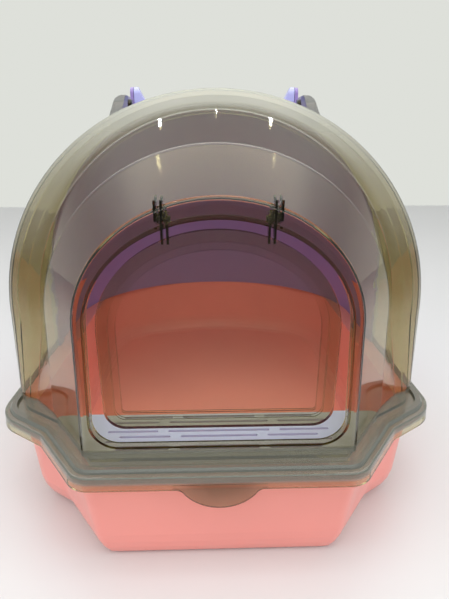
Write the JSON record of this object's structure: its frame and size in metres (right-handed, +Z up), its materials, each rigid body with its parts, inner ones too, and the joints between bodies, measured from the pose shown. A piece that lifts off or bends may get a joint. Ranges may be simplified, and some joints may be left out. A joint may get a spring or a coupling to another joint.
{
  "type": "hooded litter box",
  "caption": "Hooded litter box with a porch at the front, a see-through flip-up cover, a hanging door flap, a slotted step grate and a folding carry handle.",
  "frame": {"origin": "on the floor, under the middle of the box", "axes": "+Z up, front (porch and door) towards -Y, +X to the right seen from the front"},
  "size_m": [0.422, 0.5229, 0.3996],
  "materials": {
    "coral_plastic": "smooth moulded, half gloss",
    "lilac_plastic": "smooth moulded, half gloss",
    "smoky_plastic": "clear smoky, polished",
    "dark_plastic": "smooth moulded"
  },
  "bodies": {
    "base": {"tray": "coral_plastic"},
    "grate": {"entry_grate": "lilac_plastic"},
    "hood": {"rear_hood": "lilac_plastic", "cover_hinge_pin_left": "dark_plastic", "cover_hinge_pin_right": "dark_plastic"},
    "cover": {"front_cover": "smoky_plastic", "flap_hinge_pin_left": "dark_plastic", "flap_hinge_pin_right": "dark_plastic"},
    "flap": {"door_flap": "smoky_plastic"},
    "handle": {"carry_handle": "lilac_plastic"}
  },
  "joints": [
    {"name": "grate_lift", "type": "slide", "parent": "base", "child": "grate", "axis": [0, 0, 1], "range_m": [0, 0.01]},
    {"name": "hood_lift", "type": "slide", "parent": "base", "child": "hood", "axis": [0, 0, 1], "range_m": [0, 0.12]},
    {"name": "cover_swing", "type": "hinge", "parent": "hood", "child": "cover", "pos_m": [0, 0.02, 0.37897], "axis": [-1, 0, 0], "range_deg": [0, 95]},
    {"name": "flap_swing", "type": "hinge", "parent": "cover", "child": "flap", "pos_m": [0, -0.2135, 0.288], "axis": [1, 0, 0], "range_deg": [-40, 70]},
    {"name": "handle_swing", "type": "hinge", "parent": "hood", "child": "handle", "pos_m": [0, 0.052, 0.39108], "axis": [1, 0, 0], "range_deg": [0, 90]}
  ]
}
